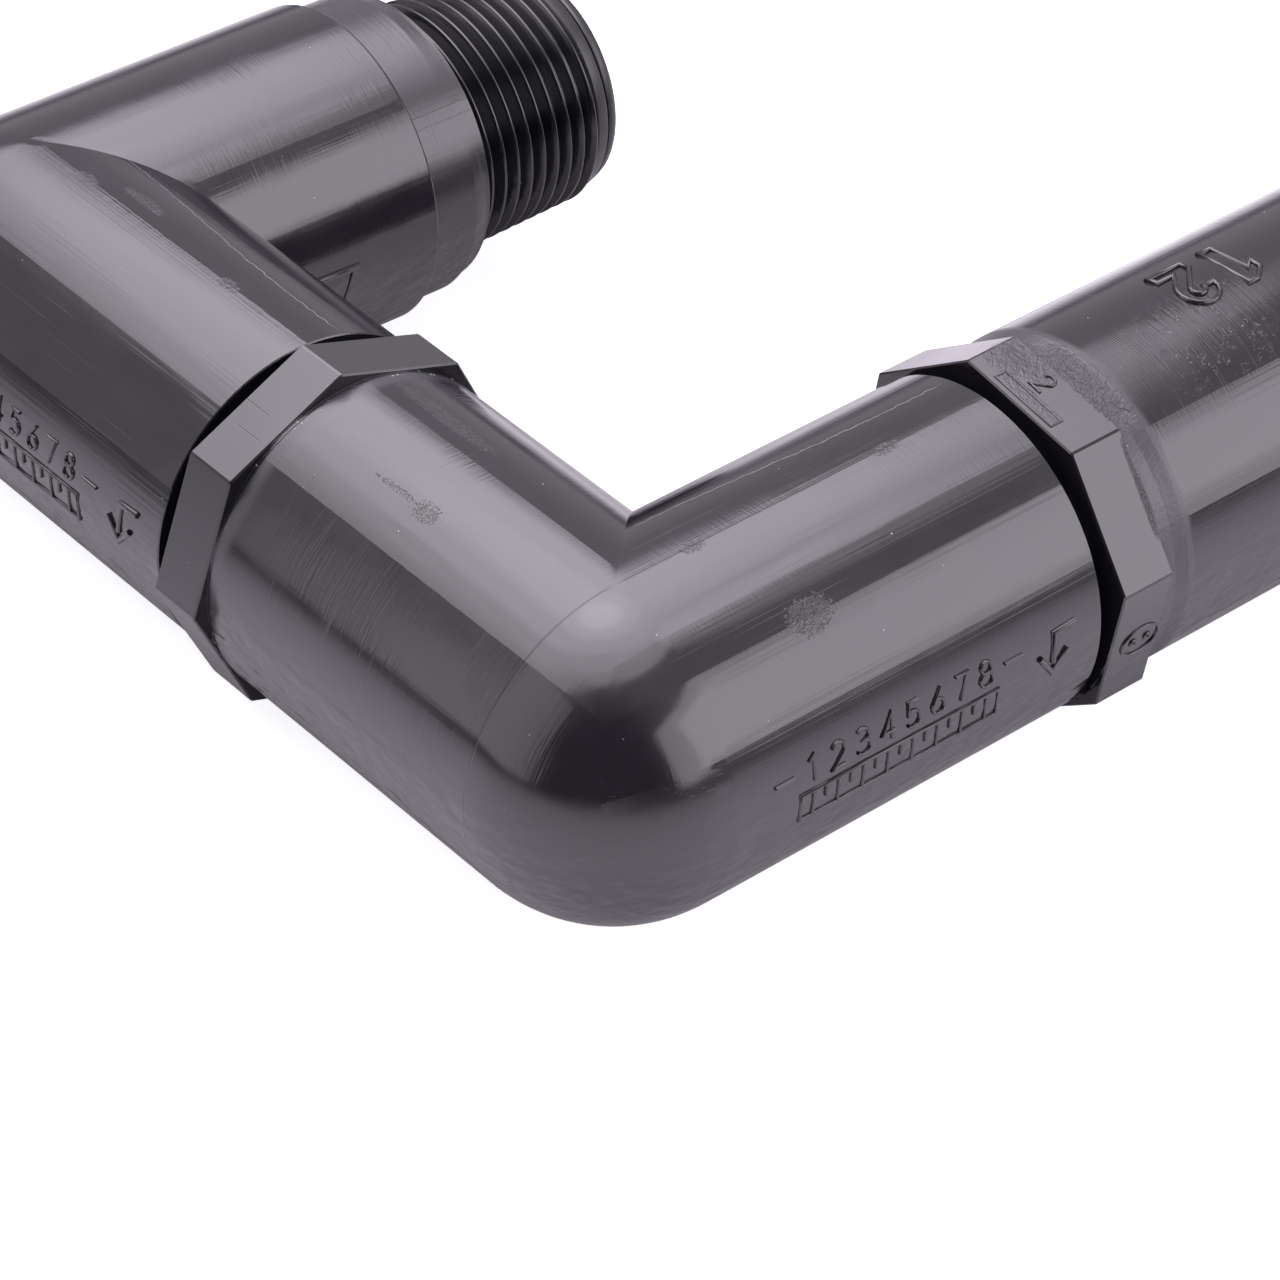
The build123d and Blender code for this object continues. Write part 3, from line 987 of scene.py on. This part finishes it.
# Operators
class SWINGJOINT_OT_plastic(Operator):
    """Give every elbow and the lay arm their moulded PVC"""

    bl_idname = "swingjoint.plastic"
    bl_label = "Finish the PVC"

    def execute(self, context):
        for node, (maker, seed) in FINISH_MAKERS.items():
            finish = maker(FINISHES[node], node, seed, context.scene.swing_plastic)
            for slot in frame["nodes"][node].material_slots:
                slot.material = finish
        return {"FINISHED"}


class SWINGJOINT_OT_seals(Operator):
    """Give the six O-rings their black rubber"""

    bl_idname = "swingjoint.seals"
    bl_label = "Finish the Seals"

    def execute(self, context):
        finish = rubber_material(context.scene.swing_plastic)
        for name, piece in frame["nodes"].items():
            if name.endswith("_seal"):
                for slot in piece.material_slots:
                    slot.material = finish
        return {"FINISHED"}


class SWINGJOINT_OT_threads(Operator):
    """Cut the tapered pipe thread on both free ends"""

    bl_idname = "swingjoint.threads"
    bl_label = "Make the Pipe Threads"

    def execute(self, context):
        s, plastic = context.scene.swing_threads, context.scene.swing_plastic
        for side, seed in THREAD_SEEDS.items():
            moulding = side + "_elbow"
            matrix = place_matrix(moulding)
            # Both thread materials carry painted shade: their colour is darkened for the shade between the
            # ridges and at the tip
            finish = thread_material(side + "_thread_shaded_finish", moulding, seed, plastic, THREAD_GLOSS)
            dull = thread_material(side + "_thread_end_shaded_finish", moulding, seed, plastic, TIP_GLOSS)
            points, faces = self.ridge(s, matrix)
            new_piece(side + "_thread_ridge", points, faces, moulding, finish=finish)
            for part, outline in TIP_RINGS.items():
                points, faces = self.turned(s, matrix, outline)
                new_piece(side + "_thread_" + part, points, faces, moulding, RING_SMOOTH_ANGLE, dull)
        return {"FINISHED"}

    def profile(self, s):
        """Half of the ridge's outline: distance from its middle and drop from its crest."""
        rounding = s.crest_round * s.pitch
        outline = []
        for degrees in range(0, FLANK_ANGLE + 1, CREST_STEP):
            turn = math.radians(degrees)
            outline.append((rounding * math.sin(turn), rounding * (1 - math.cos(turn))))
        foot = HALF_FOOT * s.pitch
        across, drop = outline[-1]
        outline.append((foot, drop + (foot - across) * math.tan(math.radians(FLANK_ANGLE))))
        return outline

    def ridge(self, s, matrix):
        """One helical ridge that rises out of the collar and runs out near the tip."""
        half = self.profile(s)
        section = [(-across, drop) for across, drop in reversed(half)] + half[1:]
        full = half[-1][1]
        turns = (s.end - s.start) / s.pitch
        count = int(turns * s.steps) + 1
        points = []
        for i in range(count):
            share = i / s.steps
            middle = s.start + s.pitch * share
            grow = min(1.0, share / TURNS_TO_RISE) * min(1.0, (turns - share) / TURNS_TO_RUN_OUT)
            grow = max(0.0, grow * grow * (3 - 2 * grow))
            crest = s.crest_at_gauge - (middle - PIPE_GAUGE_PLANE) * s.taper - full * (1 - grow)
            angle = s.phase + 2 * math.pi * share
            for across, drop in section:
                radius = max(crest - drop, THREAD_CORE_RADIUS - SUNK_IN_CORE)
                along = min(max(middle + across, PIPE_COLLAR_END - SUNK_IN_COLLAR), s.end)
                points.append(leg_point(matrix, True, along, angle, radius))
        return points, ring_faces(len(section), count, closed=False)

    def turned(self, s, matrix, outline):
        """A ring turned about the pipe's axis from (along, radius) points in mm."""
        points = []
        for i in range(s.steps):
            angle = 2 * math.pi * i / s.steps
            for along, radius in outline:
                points.append(leg_point(matrix, True, along * MM, angle, radius * MM))
        return points, ring_faces(len(outline), s.steps, closed=True)


class SWINGJOINT_OT_turn_scales(Operator):
    """Raise the plain turn scale, its dashes and its arrow on each socket leg"""

    bl_idname = "swingjoint.turn_scales"
    bl_label = "Make the Turn Scales"

    def execute(self, context):
        s = context.scene.swing_marks
        arrow = [([(u * MM, v * MM) for u, v in stroke], False) for stroke in ARROW]
        for moulding in ("inlet_elbow", "middle_elbow", "outlet_elbow"):
            on_leg = leg_surface(moulding, top=SCALE_TURN)
            for mark, lines, stroke, rise in (("turn_scale", self.lines(s), s.stroke, s.rise),
                                              ("turn_arrow", arrow, ARROW_STROKE, ARROW_RISE)):
                raise_marks(moulding.replace("elbow", mark), moulding, lines, on_leg, stroke, rise)
        return {"FINISHED"}

    def lines(self, s):
        """Dashes, numerals 1 to 8 and a ruled scale of whole and half turns; v runs down."""
        tall = s.numeral
        first, last = s.scale_from + SCALE_MARGIN, s.scale_to - SCALE_MARGIN
        step = (last - first) / 7
        lines = [([(s.scale_from, tall * 0.5), (s.scale_from + DASH, tall * 0.5)], False),
                 ([(s.scale_to - DASH, tall * 0.5), (s.scale_to, tall * 0.5)], False)]
        for n, numeral in enumerate("12345678"):
            left = first + n * step - 0.3 * tall
            for stroke in NUMERALS[numeral]:
                lines.append(([(left + x * tall, (1 - y) * tall) for x, y in stroke], False))
        rule, foot = tall + RULE_GAP, tall + RULE_FOOT
        left, right = first - step / 2, last + step / 2
        lines.append(([(left, rule), (right, rule), (right, foot), (left, foot)], True))
        for n in range(15):
            at = first + n * step / 2
            reach = foot if n % 2 == 0 else rule + HALF_TICK
            lines.append(([(at, rule), (at, reach)], False))
        return lines


class SWINGJOINT_OT_arm_marks(Operator):
    """Raise the outlined numerals on the lay arm and the small marks on its wrench collar"""

    bl_idname = "swingjoint.arm_marks"
    bl_label = "Make the Arm Marks"

    def execute(self, context):
        self.numerals(context.scene.swing_marks)
        self.collar_marks()
        return {"FINISHED"}

    def numerals(self, s):
        """Block numerals read from the far side, as on the real arm: 12, the lay length in inches."""
        tall = s.arm_numeral
        base = math.radians(BLOCK_TURN) * LEG_RADIUS
        lines = []
        for outline, right in BLOCK_NUMERALS:
            lines.append(([(right - x * tall, base + y * tall) for x, y in outline], True))
        raise_marks("arm_numerals", "lay_arm", lines, leg_surface("lay_arm"), s.arm_stroke, s.arm_rise)

    def facet(self, turn):
        """A function that lays flat points on one facet of the wrench collar, u along the arm."""
        matrix = place_matrix("lay_arm")
        apothem = OCTAGON_CORNER * math.cos(math.radians(OCTAGON_HALF_TURN))
        angle = math.radians(turn)
        normal = Vector((0, -math.sin(angle), math.cos(angle)))
        tangent = Vector((1, 0, 0)).cross(normal)

        def to_facet(u, v, height):
            return matrix @ (Vector((u, 0, 0)) + tangent * v + normal * (apothem + height))

        return to_facet

    def collar_marks(self):
        """A small numeral and a rectangle on one facet, an oval with two dots on another."""
        top_facet = ARM_OCTAGON_TURN + OCTAGON_HALF_TURN
        at, tall, wide = 61.9 * MM, 2.9 * MM, 3.2 * MM
        numeral = [([(at + (y - 0.5) * tall, (x - 0.70) * wide) for x, y in stroke], False)
                   for stroke in NUMERALS["2"]]
        left, right, low, high = -5.2 * MM, 4.4 * MM, 57.75 * MM, 59.4 * MM
        rectangle = [([(low, left), (low, right), (high, right), (high, left)], True)]
        at, side, dot = 61.5 * MM, 0.4 * MM, 0.40 * MM
        oval = [(arc((at, side), (2.9 * MM, 2.1 * MM), 0, 345, 23), True)]
        for dot_at in (at - 1.1 * MM, at + 1.1 * MM):
            oval.append((arc((dot_at, side), (dot, dot), 0, 330, 11), True))
        for mark, lines, turn, stroke, rise in (
                ("arm_collar_numeral", numeral, top_facet, 0.40 * MM, 0.24 * MM),
                ("arm_collar_rectangle", rectangle, top_facet, 0.30 * MM, 0.16 * MM),
                ("arm_collar_oval", oval, top_facet + 90, 0.42 * MM, 0.24 * MM)):
            raise_marks(mark, "lay_arm", lines, self.facet(turn), stroke, rise)


class SWINGJOINT_OT_pipe_marks(Operator):
    """Raise the plain outlined triangle on each pipe leg"""

    bl_idname = "swingjoint.pipe_marks"
    bl_label = "Make the Pipe Leg Marks"

    def execute(self, context):
        arc_mm = math.radians(1) * LEG_RADIUS
        lines = [([(along * MM, turn * arc_mm) for along, turn in TRIANGLE], True)]
        for moulding in ("inlet_elbow", "outlet_elbow"):
            raise_marks(moulding.replace("elbow", "triangle"), moulding, lines,
                        leg_surface(moulding, other=True), TRIANGLE_STROKE, TRIANGLE_RISE)
        return {"FINISHED"}


class SWINGJOINT_OT_studio(Operator):
    """Lay the pale floor and place the soft boxes, the world and the camera"""

    bl_idname = "swingjoint.studio"
    bl_label = "Set the Studio"

    def execute(self, context):
        s = context.scene.swing_studio
        self.floor(s)
        self.world(s)
        for name, values in SOFT_BOXES.items():
            self.soft_box(s, name, *values)
        self.camera(s)
        context.scene.view_settings.view_transform = "Standard"
        return {"FINISHED"}

    def floor(self, s):
        """A pale floor with painted light and shade: paler round the part, darker away from it, and a
        painted shadow between its elbows.
        """
        mesh = bpy.data.meshes.new("studio_floor")
        half, low = FLOOR_HALF, cad_lowest.z - FLOOR_DROP
        mesh.from_pydata([(-half, -half, low), (half, -half, low), (half, half, low), (-half, half, low)],
                         [], [(0, 1, 2, 3)])
        floor = bpy.data.objects.new("studio_floor", mesh)
        bpy.context.scene.collection.objects.link(floor)
        material = bpy.data.materials.new("studio_floor_finish")
        material.use_nodes = True
        shader = material.node_tree.nodes["Principled BSDF"]
        shader.inputs["Roughness"].default_value = 0.9
        shader.inputs["Specular IOR Level"].default_value = 0.1
        shader.inputs["Emission Strength"].default_value = 1.0
        g = Graph(material.node_tree)
        where = g.node("TexCoord").outputs["Object"]
        # Painted light: the floor's colour is paler round the part and fades to the shade colour away from
        # it
        light_pool = middle_centre + Vector((0.0, 0.05, 0.0))
        offset = g.vector("SUBTRACT", where, (light_pool.x, light_pool.y, low))
        away = g.vector("LENGTH", g.vector("MULTIPLY", offset, (1.0, 0.6, 1.0)))
        # Painted shadow: the floor's colour darkens in a spot between the elbows
        shadow_spot = middle_centre + Vector((-0.07, 0.09, 0.0))
        from_shadow_spot = g.vector("DISTANCE", where, (shadow_spot.x, shadow_spot.y, low))
        shaded = g.math("MAXIMUM", g.ramp(away, 0.0, 0.40), g.ramp(from_shadow_spot, 0.02, 0.085, 0.62, 0.0))
        g.put(shader.inputs["Base Color"], g.blend(shaded, rgba(s.floor), rgba(s.floor_shade)))
        seen = g.times(g.node("LightPath").outputs["Is Camera Ray"], s.background)
        g.put(shader.inputs["Emission Color"], g.blend(seen, BLACK, WHITE))
        mesh.materials.append(material)

    def world(self, s):
        """A room that is dark behind the camera and pale behind the part."""
        world = bpy.data.worlds.new("studio_world")
        bpy.context.scene.world = world
        world.use_nodes = True
        back = world.node_tree.nodes["Background"]
        g = Graph(world.node_tree)
        dark_side = bearing(44.0, 14.0)
        facing = g.vector("DOT_PRODUCT", g.node("TexCoord").outputs["Generated"], dark_side)
        seen = g.node("LightPath").outputs["Is Camera Ray"]
        g.put(back.inputs["Color"], g.blend(seen, rgba(s.lamp), WHITE))
        g.put(back.inputs["Strength"], g.lerp(seen, g.ramp(facing, 0.45, 0.93, 0.72, 0.09), 1.0))

    def soft_box(self, s, name, azimuth, elevation, half_across, half_up, brightness, distance, shape):
        """A lamp that is seen at a given size and brightness from the middle elbow's centre."""
        lamp = bpy.data.lights.new(name, "AREA")
        lamp.shape = shape
        lamp.size = 2 * distance * math.tan(math.radians(half_across))
        area = lamp.size * lamp.size * math.pi / 4
        if shape == "RECTANGLE":
            lamp.size_y = 2 * distance * math.tan(math.radians(half_up))
            area = lamp.size * lamp.size_y
        lamp.color = s.lamp
        lamp.energy = brightness * math.pi * area
        box = bpy.data.objects.new(name, lamp)
        bpy.context.scene.collection.objects.link(box)
        towards = bearing(azimuth, elevation)
        box.location = middle_centre + towards * distance
        box.rotation_euler = towards.to_track_quat("Z", "Y").to_euler()
        box.visible_camera = False

    def camera(self, s):
        """The photograph's own viewpoint."""
        data = bpy.data.cameras.new("photo_camera")
        data.lens = s.lens
        data.sensor_width = 36.0
        data.clip_start = 0.01
        camera = bpy.data.objects.new("photo_camera", data)
        bpy.context.scene.collection.objects.link(camera)
        axes = Matrix((CAMERA_RIGHT, CAMERA_UP, CAMERA_RIGHT.cross(CAMERA_UP)))
        place = Matrix.Translation(middle_centre + CAMERA_PLACE * MM)
        camera.matrix_world = place @ axes.transposed().to_4x4()
        bpy.context.scene.camera = camera


# Panel and registration
STEPS = (
    SWINGJOINT_OT_plastic,
    SWINGJOINT_OT_seals,
    SWINGJOINT_OT_threads,
    SWINGJOINT_OT_turn_scales,
    SWINGJOINT_OT_arm_marks,
    SWINGJOINT_OT_pipe_marks,
    SWINGJOINT_OT_studio,
)


class SWINGJOINT_PT_panel(Panel):
    """Lists the swing joint's steps in the 3D view's sidebar"""

    bl_idname = "SWINGJOINT_PT_panel"
    bl_label = "Swing Joint"
    bl_space_type = "VIEW_3D"
    bl_region_type = "UI"
    bl_category = "Swing Joint"

    def draw(self, context):
        column = self.layout.column(align=True)
        for step in STEPS:
            column.operator(step.bl_idname)


SETTINGS = {
    "swing_plastic": SwingPlasticSettings,
    "swing_threads": SwingThreadSettings,
    "swing_marks": SwingMarkSettings,
    "swing_studio": SwingStudioSettings,
}


def register():
    for group in SETTINGS.values():
        bpy.utils.register_class(group)
    for name, group in SETTINGS.items():
        setattr(bpy.types.Scene, name, PointerProperty(type=group))
    for step in STEPS:
        bpy.utils.register_class(step)
    bpy.utils.register_class(SWINGJOINT_PT_panel)


def unregister():
    bpy.utils.unregister_class(SWINGJOINT_PT_panel)
    for step in reversed(STEPS):
        bpy.utils.unregister_class(step)
    for name in SETTINGS:
        delattr(bpy.types.Scene, name)
    for group in SETTINGS.values():
        bpy.utils.unregister_class(group)


def main():
    """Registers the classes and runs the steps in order."""
    register()
    bpy.ops.swingjoint.plastic()
    bpy.ops.swingjoint.seals()
    bpy.ops.swingjoint.threads()
    bpy.ops.swingjoint.turn_scales()
    bpy.ops.swingjoint.arm_marks()
    bpy.ops.swingjoint.pipe_marks()
    bpy.ops.swingjoint.studio()
    bpy.context.view_layer.update()


if __name__ == "__main__":
    main()
